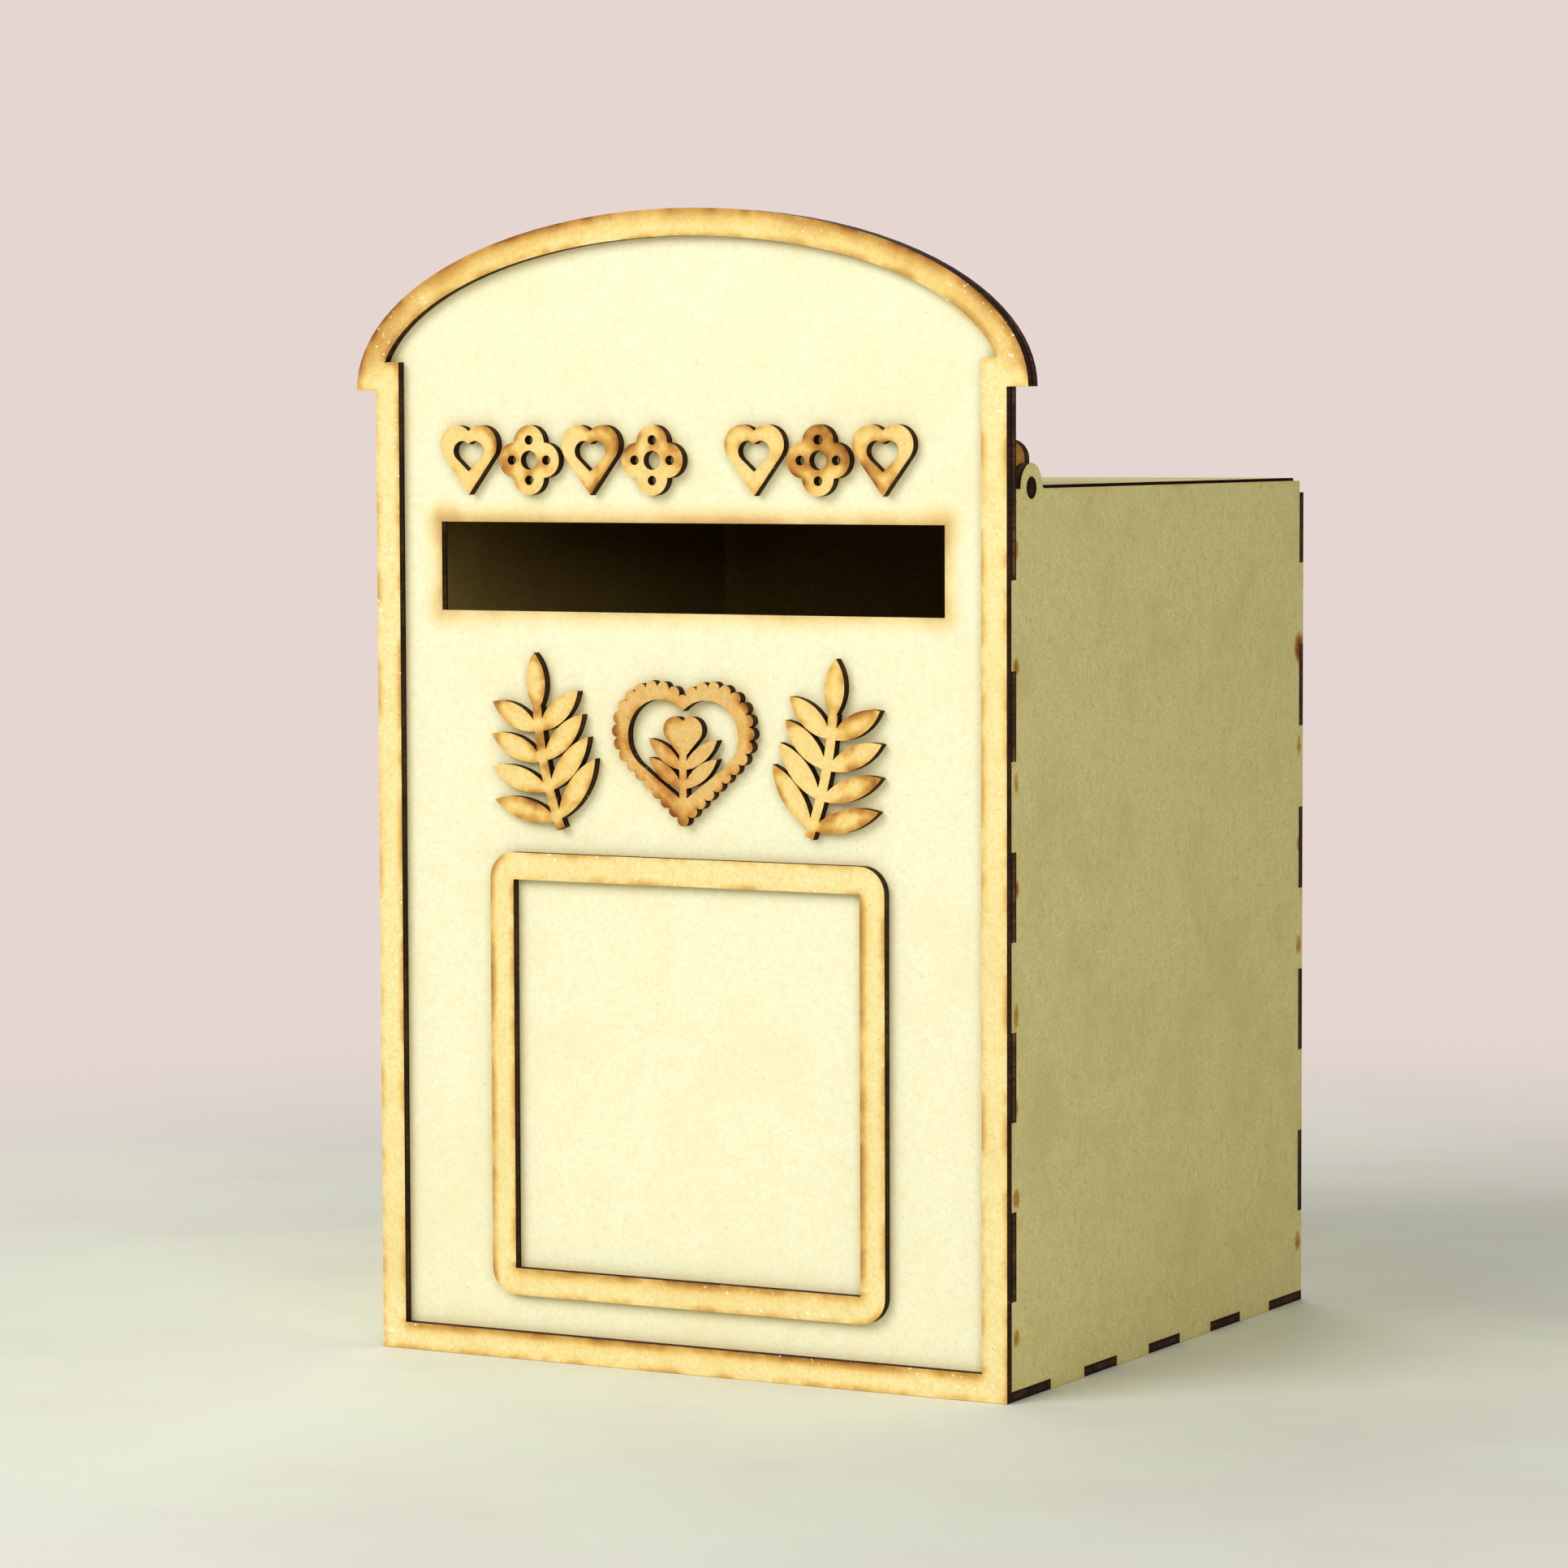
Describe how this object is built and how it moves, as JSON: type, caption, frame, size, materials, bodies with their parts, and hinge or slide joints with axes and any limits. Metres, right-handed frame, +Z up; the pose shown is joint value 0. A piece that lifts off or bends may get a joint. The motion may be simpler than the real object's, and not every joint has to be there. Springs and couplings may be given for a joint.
{
  "type": "wedding post box",
  "caption": "Card post box of thin finger-jointed board: arched front with letter slot and raised ornaments, hinged lid.",
  "frame": {"origin": "centre of the whole box's footprint, on the surface it stands on", "axes": "+Z up, -Y out of the front face, +X to the right of someone looking at the front"},
  "size_m": [0.2234, 0.209, 0.3398],
  "materials": {
    "board": "bare fibreboard with laser-browned edges",
    "raised_board": "bare fibreboard, amber smoke stain"
  },
  "bodies": {
    "case": {"front_panel": "board", "back_panel": "board", "base_panel": "board", "side_panel_left": "board", "side_panel_right": "board", "front_frame": "raised_board", "notice_frame": "raised_board", "left_sprig": "raised_board", "right_sprig": "raised_board", "centre_heart": "raised_board", "row_heart_1": "raised_board", "row_flower_2": "raised_board", "row_heart_3": "raised_board", "row_flower_4": "raised_board", "row_heart_5": "raised_board", "row_flower_6": "raised_board", "row_heart_7": "raised_board"},
    "lid": {"lid_panel": "board", "lid_stop_left": "board", "lid_stop_right": "board"}
  },
  "joints": [
    {"name": "lid_hinge", "type": "hinge", "parent": "case", "child": "lid", "pos_m": [0, -0.0887, 0.25837], "axis": [1, 0, 0], "range_deg": [0, 50]}
  ]
}
